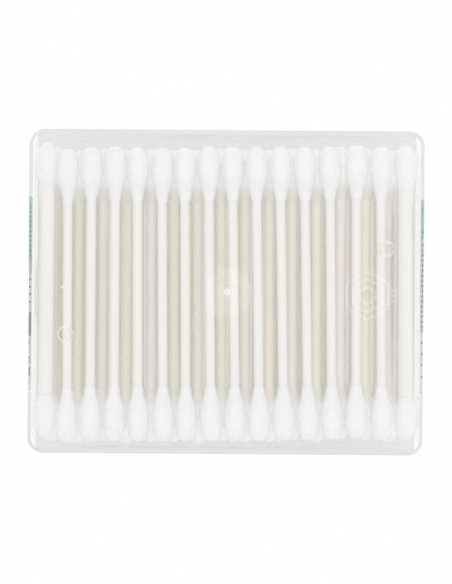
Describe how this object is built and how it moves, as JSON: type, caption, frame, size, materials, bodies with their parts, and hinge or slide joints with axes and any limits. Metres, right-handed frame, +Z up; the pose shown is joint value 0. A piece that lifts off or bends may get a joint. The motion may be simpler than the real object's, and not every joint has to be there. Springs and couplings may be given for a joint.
{
  "type": "cotton swab box",
  "caption": "Rectangular translucent plastic box with a living-hinge lid, filled with rows of paper-stick cotton swabs.",
  "frame": {"origin": "under the middle of the box's walls, on the surface that its four feet stand on", "axes": "+X along the swabs, +Y from the front wall with the thumb recess to the hinged back wall, +Z up through the lid"},
  "size_m": [0.083, 0.1023, 0.0356],
  "materials": {
    "box_plastic": "hazy translucent",
    "label_film": "printed film, satin",
    "paper_stick": "smooth rolled paper",
    "cotton": "wound cotton"
  },
  "bodies": {
    "tray": {"base": "box_plastic", "front_label": "label_film", "back_label": "label_film", "row_1_sticks": "paper_stick", "row_1_tips": "cotton", "row_2_sticks": "paper_stick", "row_2_tips": "cotton", "row_3_sticks": "paper_stick", "row_3_tips": "cotton", "row_4_sticks": "paper_stick", "row_4_tips": "cotton", "row_5_sticks": "paper_stick", "row_5_tips": "cotton"},
    "cover": {"lid": "box_plastic"}
  },
  "joints": [
    {"name": "lid_hinge", "type": "hinge", "parent": "tray", "child": "cover", "pos_m": [0, 0.0516, 0.02757], "axis": [-1, 0, 0], "range_deg": [0, 180]}
  ]
}
